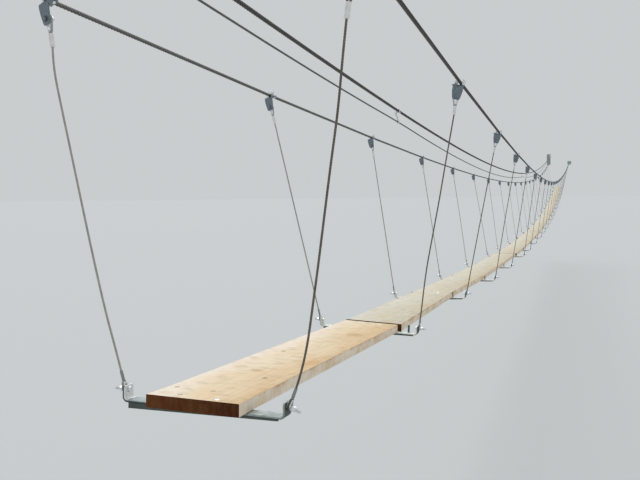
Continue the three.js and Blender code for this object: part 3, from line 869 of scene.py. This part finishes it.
# Brackets: steel angle under the rope, with a shelf for it and a plate down to the upper eye
def strap_and_ears(rope_point, aside, away, up):
    """A strap bolted over the rope on its shelf, and an ear that stands beside the rope."""
    seat = rope_point + away * (BRACKET_SHELF / 2 + 1)
    over = CARRYING_ROPE / 2 + STRAP_STEEL / 2 + 0.2
    foot_z = STRAP_STEEL / 2 - CARRYING_ROPE / 2
    left = [(-STRAP_BOLTS - 5, foot_z), (-STRAP_BOLTS + 3, foot_z), (-over, foot_z + 3)]
    strap = [*left, *arc((0, 0), over, 180, 0, 9), *[(-x, z) for x, z in reversed(left)]]
    strap = in_plane(strap, seat, aside, up)
    steel = [bent_strip(strap, [STRAP_WIDTH] * len(strap), STRAP_STEEL, away)]
    shelf_foot = -CARRYING_ROPE / 2 - BRACKET_STEEL
    shank = turned([(SMALL_BOLT, shelf_foot - 7), (SMALL_BOLT, foot_z)], 10)
    for way in (-1, 1):
        tall = EAR_TOPS[way]
        ear = [(EAR_NEAR, EAR_FOOT), (EAR_FAR, EAR_FOOT), (EAR_FAR, tall / 2), (EAR_TIP, tall),
               (EAR_NEAR, tall)]
        ear = slab([(way * x, z) for x, z in ear][::way], STRAP_STEEL, 0.5)
        at = seat + aside * (way * STRAP_BOLTS)
        above = at + up * (foot_z + STRAP_STEEL / 2)
        steel += [set_at(ear, rope_point + away * EAR_FORWARD, aside, up, -away),
                  set_at(shank, at, aside, -away, -up),
                  set_at(hexagon(SMALL_FLATS, 3.5, 0.5), above, aside, away, up),
                  set_at(hexagon(SMALL_FLATS, 4.5, 0.5), at + up * shelf_foot, aside, -away, -up)]
    return steel


def bracket(side, n, low):
    """A bracket in line with its hanger from the eye at low, its bolts, and its eye's place."""
    rope_point = carrying_point(side, clamp_station(side, n))
    lean = math.atan2(rope_point[0] - low[0], rope_point[2] - low[2])
    up = X * math.sin(lean) + Z * math.cos(lean)
    turn = side * BRACKET_TURN
    aside = (X * math.cos(lean) - Z * math.sin(lean)) * math.cos(turn) + Y * math.sin(turn)
    away = np.cross(up, aside)
    half = BRACKET_STEEL / 2
    shelf_z = -CARRYING_ROPE / 2 - half
    corner = arc((BRACKET_BEND, shelf_z - BRACKET_BEND), BRACKET_BEND, 90, 180, 6)
    drop = BRACKET_DROP.get((side, n), 0.0)
    down = [(0.0, z - drop) for z in (-30.0, -44.0, -56.0, BRACKET_BOTTOM + 3, BRACKET_BOTTOM)]
    path = [(BRACKET_SHELF, shelf_z), (BRACKET_SHELF - 1.5, shelf_z), *corner, *down]
    full, foot = BRACKET_WIDTH, BRACKET_FOOT
    widths = [full - 4, full] + [full] * len(corner) + [full, full * 0.9, full * 0.78, foot + 4, foot]
    centre_line = rope_point + X * BRACKET_ASIDE
    plate = bent_strip(in_plane(path, centre_line, away, up), widths, BRACKET_STEEL, aside)

    # The eye's bolt through the foot
    pin = centre_line + up * (BRACKET_BOTTOM + PIN_RISE - drop)
    past_eye = half + EYE_WIDTH
    shank = [(PIN_RADIUS, -half - 0.5), (PIN_RADIUS, past_eye + 9), (PIN_RADIUS - 0.7, past_eye + 10)]
    along = np.cross(away, aside)
    head = set_at(bolt_head(HEAD_HEIGHT), pin - away * half, aside, -along, -away)
    nut = set_at(bolt_head(NUT_HEIGHT), pin + away * (past_eye + 0.6), aside, along, away)
    fixings = [set_at(turned(shank, 12), pin, aside, along, away), nut]
    fixings += strap_and_ears(rope_point, aside, away, up)
    eye_centre = pin + away * (half + 0.3 + EYE_WIDTH / 2) - up * (EYE_HOLE - PIN_RADIUS - 0.3)
    # Painted shade: the eye bolt's head goes with the plate in its slate grey, darker than the bright zinc
    # of its nut
    return joined([plate, head]), fixings, eye_centre, away


# Hangers: wire with an eye at each end. The nearest ones are bent as the photograph shows:
# millimetres along x at shares of the free wire, from its ferrule down
BENDS = {
    (1, 1): ([0, 0.08, 0.14, 0.23, 0.38, 0.66, 0.78, 0.86, 0.92, 0.97, 1],
             [1, 4, 7, 12, 13.5, 19, 20, 21.5, 18.5, 15, 9]),
    (-1, 1): ([0, 0.06, 0.1, 0.6, 0.75, 0.85, 0.9, 0.96, 1], [-6, -17, -18, -17, -15, -12, -8, -5, -3]),
    (1, 2): ([0, 0.2, 0.4, 0.73, 0.84, 0.95, 1], [4, 1, -1, -9, -7, -3, -2]),
}


def lower_eye_centre(side, n):
    middle, across, _, up = bar_place(n)
    beyond = BAR_LENGTH / 2 + 0.2 + EYE_WIDTH / 2
    return middle + across * (side * beyond) + up * BOLT_RISE + Z * (EYE_HOLE - BOLT_RADIUS - 0.3)


for side, side_name in ((-1, "left"), (1, "right")):
    wires, ferrules, sleeves, linings, plates, fixings = [], [], [], [], [], []
    for n in BAR_NUMBERS:
        low = lower_eye_centre(side, n)
        plate, bolts, high, away = bracket(side, n, low)
        plates.append(plate)
        fixings.extend(bolts)
        down = unit(low - high)
        shares, offsets = BENDS.get((side, n), ([0, 0.5, 1], [0, random.uniform(-3, 3), 0]))
        start = EYE_NECK + FERRULE_LENGTH - 3
        span = np.linalg.norm(low - high) - start - (LOWER_NECK + SLEEVE_LENGTH - 3)
        reach = np.linspace(0, 1, HANGER_POINTS)
        bow = np.interp(reach, shares, offsets)
        for _ in range(3):
            bow[1:-1] = (bow[:-2] + bow[1:-1] + bow[2:]) / 3
        line = high + (start + reach[:, None] * span) * down + bow[:, None] * X
        wires.append(laid_rope(line, HANGER_ROPE, Y, LAY * HANGER_ROPE / 8))
        below = unit(line[0] - high)
        above = unit(line[-1] - low)
        for centre, axis, throat, neck in ((high, away, below, EYE_NECK),
                                           (low, X * side, above, LOWER_NECK)):
            strand, lining = hanger_eye(centre, axis, throat, neck)
            wires.append(strand)
            linings.append(lining)
        ferrules.append(ferrule(high + below * EYE_NECK, below, FERRULE_RADIUS, FERRULE_LENGTH))
        sleeves.append(ferrule(low + above * LOWER_NECK, above, SLEEVE_RADIUS, SLEEVE_LENGTH))
    node = [f"{side_name}_carrying_rope"]
    add_piece(f"{side_name}_hanger_wires", joined(wires), [HANGER_WIRE[side]], node, 70)
    add_piece(f"{side_name}_hanger_ferrules", joined(ferrules), [FERRULE], node, 40)
    add_piece(f"{side_name}_hanger_sleeves", joined(sleeves), [LOWER_SLEEVE], node, 40)
    add_piece(f"{side_name}_hanger_thimbles", joined(linings), [BRIGHT_ZINC], node)
    add_piece(f"{side_name}_rope_brackets", joined(plates), [SLATE_STEEL], node, 30)
    add_piece(f"{side_name}_bracket_bolts", joined(fixings), [BRIGHT_ZINC], node)


# Long ropes end in an eye through an anchor lug, the tail clipped back under the rope
def lug_hole(diameter):
    return 0.75 * diameter + 2


def lug_station(is_far):
    return FAR_FACE_Y - PLATE_STEEL - LUG_REACH if is_far else PLATE_STEEL + LUG_REACH


def rope_end(diameter, point_at, is_far):
    """The path of the tail and eye, ending on the rope's line, with thimble and clips."""
    inward = -1 if is_far else 1
    hole = point_at(lug_station(is_far))
    direction = unit(point_at(lug_station(is_far) + inward) - hole)
    up = unit(Z - direction * direction[2])
    aside = np.cross(-direction, up)
    inner = 1.3 * diameter + 3
    in_hole = math.sqrt(lug_hole(diameter) ** 2 - (0.48 * diameter) ** 2)
    centre = hole + direction * (in_hole + inner - 0.3)
    neck = inner + 2.6 * diameter
    loop = teardrop(inner + diameter / 2, neck, diameter * 0.5, 18)
    line = in_plane(loop, centre, aside, -direction)
    clip_at = [centre + direction * (neck + diameter * (2.6 + CLIP_PITCH * i)) for i in range(CLIPS)]
    tail_end = clip_at[-1] + direction * diameter * 2.6
    below = -up * diameter
    tail = [tail_end + below, clip_at[0] - direction * diameter * 1.2 + below]
    path = [*tail, *line[::-1], clip_at[0] - direction * diameter * 0.8, clip_at[0]]
    lining = teardrop(inner - THIMBLE_STEEL, neck * 0.8, diameter * 0.1, 18)
    line = in_plane(lining, centre, aside, -direction)
    metalwork = [thimble(line, up, diameter * 0.62, diameter * 0.45, 1.5, THIMBLE_STEEL)]
    for at in clip_at:
        metalwork.extend(rope_clip(at, direction, up, diameter))
    return path, metalwork


def rope_clip(at, direction, up, diameter):
    """A wire rope grip: a U-bolt under the tail, a forged saddle over the rope, two nuts."""
    aside = np.cross(direction, up)
    rod = max(2.4, diameter * 0.2)
    leg = diameter / 2 + rod
    top = diameter * 1.25
    hoop = [(leg, top), *arc((0, -diameter), leg, 0, -180, 11), (-leg, top)]
    pieces = [swept(in_plane(hoop, at, aside, up), circle(rod, 8), direction)]
    x, y = diameter * 1.35, diameter * 0.55
    saddle = slab([(-x, -y), (x, -y), (x, y), (-x, y)], diameter * 0.35, 0.8)
    saddle_z = diameter * 0.62
    pieces.append(set_at(saddle, at + up * saddle_z, aside, -direction, up))
    for way in (-1, 1):
        seat = at + aside * (way * leg) + up * (saddle_z + diameter * 0.17)
        pieces.append(set_at(hexagon(rod * 3.4, rod * 1.7, 0.5), seat, aside, -direction, up))
    return pieces


def whole_rope(diameter, point_at, stations):
    """One laid rope from its near tail to its far tail, and the metalwork on its ends."""
    near, near_metal = rope_end(diameter, point_at, False)
    far, far_metal = rope_end(diameter, point_at, True)
    path = np.array([*near, *[point_at(y) for y in stations], *far[::-1]])
    lay = LAY * diameter
    total = reach_along(path)[-1]
    fine = 32 * diameter
    steps = [(fine, lay / 24), (NEAR_RUN, lay / 12), (total - fine, lay / 8), (total, lay / 24)]
    return laid_rope(path, diameter, X, steps), near_metal + far_metal


LEFT_LINE, RIGHT_LINE = ((CARRYING_ROPE, partial(carrying_point, side)) for side in (-1, 1))
GUARD_LINE = (GUARD_ROPE, guard_point)
LIFE_LINE = (LIFELINE, lifeline_point)
left_clamps, right_clamps = ([clamp_station(side, n) for n in BAR_NUMBERS] for side in (-1, 1))
free_stations = np.linspace(BAY, FAR_FACE_Y - BAY, 61)
for name, line, stations, node, finish in (
        ("left_carrying_line", LEFT_LINE, left_clamps, "left_carrying_rope", GREY_ROPE),
        ("right_carrying_line", RIGHT_LINE, right_clamps, "right_carrying_rope", DARK_ROPE),
        ("guard_line", GUARD_LINE, free_stations, "guard_rope", DARK_ROPE),
        ("life_line", LIFE_LINE, free_stations, "lifeline", GREY_ROPE)):
    rope, metalwork = whole_rope(*line, stations)
    add_piece(name, rope, [finish], [node], 70)
    add_piece(f"{name}_clips", joined(metalwork), [BRIGHT_ZINC], [node])

# Links hold the lifeline under the guard rope
leg = GUARD_ROPE / 2 + LINK_ROD
hoop = [(leg, -16), (leg, 0), *arc((0, 0), leg, 0, 180, 11)[1:], (-leg, -16)]
strap = [(15.0, -12.5), (0.0, -12.5), *arc((-9.0, -18.5), 6.0, 90, 180, 5), (-15.0, -34.0),
         (-3.0, -46.0), (-3.0, -70.0), (-3.0, -92.0)]
keeper = [(0.0, 6.5), *arc((1.5, 0), 7.5, 90, -90, 9), (0.0, -7.5)]
links = []
link_bolts = []
for y in LINK_STATIONS:
    top = guard_point(y)
    link_bolts.append(swept(in_plane(hoop, top, X, Z), circle(LINK_ROD, 8), Y))
    for way in (-1, 1):
        link_bolts.append(set_at(hexagon(10, 5, 0.6), top + X * (way * leg) - Z * 15, X, -Y, -Z))
    for shape, at, width, steel in ((strap, top, LINK_STRAP, 5.0),
                                    (keeper, lifeline_point(y), KEEPER_STRAP, 3.0)):
        links.append(bent_strip(in_plane(shape, at, X, Z), [width] * len(shape), steel, Y))
add_piece("lifeline_links", joined(links), [PALE_ZINC], ["guard_rope"], 30)
add_piece("lifeline_link_bolts", joined(link_bolts), [BRIGHT_ZINC], ["guard_rope"])


# Anchors: a plate against the rock with a lug for each rope, held by rock bolts
def lug_loops(diameter):
    """A lug's outline, round at its nose and wider at its root, and the loop of its hole."""
    hole = lug_hole(diameter)
    nose = hole + LUG_RIM
    root = nose + LUG_RIM
    outline = []
    loop = []
    for c, s in circle(1.0, 24):
        reach = nose if c >= 0 else min(LUG_REACH / -c, root / max(abs(s), 1e-6))
        outline.append((LUG_REACH + reach * c, reach * s))
        loop.append((LUG_REACH + hole * c, hole * s))
    return outline, loop


def rock_bolt():
    """Along +z from the plate: washer, nut and the stud's end."""
    washer = turned([(14.5, 0), (15, 0.4), (15, 2.1), (14.5, 2.5)], 24)
    nut = set_at(hexagon(19, 10, 1.0), (0, 0, 2.5), X, Y, Z)
    return joined([washer, nut, turned([(5.9, 0), (5.9, 21), (4.9, 22)], 14)])


def anchor(name, ropes, is_far):
    inward = -1 if is_far else 1
    face_y = FAR_FACE_Y if is_far else 0.0
    lugs = [(diameter, point_at(lug_station(is_far))) for diameter, point_at in ropes]
    top = max(point[2] for _, point in lugs) + PLATE_SIZE / 2
    bottom = min(point[2] for _, point in lugs) - PLATE_SIZE / 2
    outline = rounded_rectangle(PLATE_SIZE, top - bottom, PLATE_CORNER, 4)
    foot = np.array([lugs[0][1][0], face_y + inward * PLATE_STEEL / 2, bottom])
    shapes = [set_at(slab(outline, PLATE_STEEL, 1.0), foot, X, Z, -Y)]
    for diameter, point in lugs:
        root = np.array([point[0], face_y + inward * PLATE_STEEL, point[2]])
        lug = holed_slab(*lug_loops(diameter), LUG_STEEL, 0.9)
        shapes.append(set_at(lug, root, Y * inward, Z, X * inward))
    add_piece(f"{name}_plate", joined(shapes), [ZINC], [name], 30)

    bolts = []
    for way in (-1, 1):
        for z in (bottom + ROCK_BOLT_INSET, top - ROCK_BOLT_INSET):
            x = foot[0] + way * (PLATE_SIZE / 2 - ROCK_BOLT_INSET)
            at = (x, face_y + inward * PLATE_STEEL, z)
            bolts.append(set_at(rock_bolt(), at, *axes_about(Y * inward, X)))
    add_piece(f"{name}_bolts", joined(bolts), [BRIGHT_ZINC], [name])


for end_name, is_far in (("near", False), ("far", True)):
    anchor(f"{end_name}_left_anchor", [LEFT_LINE, GUARD_LINE, LIFE_LINE], is_far)
    anchor(f"{end_name}_right_anchor", [RIGHT_LINE], is_far)


# Camera where the photograph was taken from
CAMERA_AT = (853.5, -269.2, 1104.0)
CAMERA_YAW = 0.35413
CAMERA_PITCH = 0.08215
CAMERA_ROLL = -0.01817
FOCAL_PIXELS = 700.0
PICTURE_WIDTH = 640
SENSOR = 36.0

lens = bpy.data.cameras.new("camera")
lens.sensor_width = SENSOR
lens.lens = FOCAL_PIXELS / PICTURE_WIDTH * SENSOR
lens.clip_end = 500
camera = new_object("camera", lens)
turn = Matrix.Rotation(CAMERA_YAW, 4, "Z") @ Matrix.Rotation(math.pi / 2 - CAMERA_PITCH, 4, "X")
turn = turn @ Matrix.Rotation(CAMERA_ROLL, 4, "Z")
camera.matrix_world = Matrix.Translation(place(CAMERA_AT)) @ turn
bpy.context.scene.camera = camera

# Pale floor well below the deck, in metres
FLOOR_Z = -4.2
FLOOR_REACH = 150.0
floor_mesh = bpy.data.meshes.new("floor")
corners = [(x * FLOOR_REACH, y * FLOOR_REACH, FLOOR_Z) for x, y in ((-1, -1), (1, -1), (1, 1), (-1, 1))]
floor_mesh.from_pydata(corners, [], [(0, 1, 2, 3)])
floor_finish, _, shader = new_finish("pale_floor", 0.0, 0.9)
shader.inputs["Base Color"].default_value = linear("#b5b8b9")
floor_mesh.materials.append(floor_finish)
new_object("floor", floor_mesh)

# Soft light from a wide sun and a pale sky
sun_light = bpy.data.lights.new("sky_sun", "SUN")
sun_light.energy = 2.2
sun_light.angle = math.radians(50)
sun = new_object("sky_sun", sun_light)
sun.rotation_euler = (math.radians(-25), math.radians(-18), 0)

world = bpy.data.worlds.new("sky")
world.use_nodes = True
background = world.node_tree.nodes["Background"]
background.inputs["Color"].default_value = linear("#dfe2e4")
background.inputs["Strength"].default_value = 0.8
bpy.context.scene.world = world
bpy.context.scene.view_settings.view_transform = "Standard"
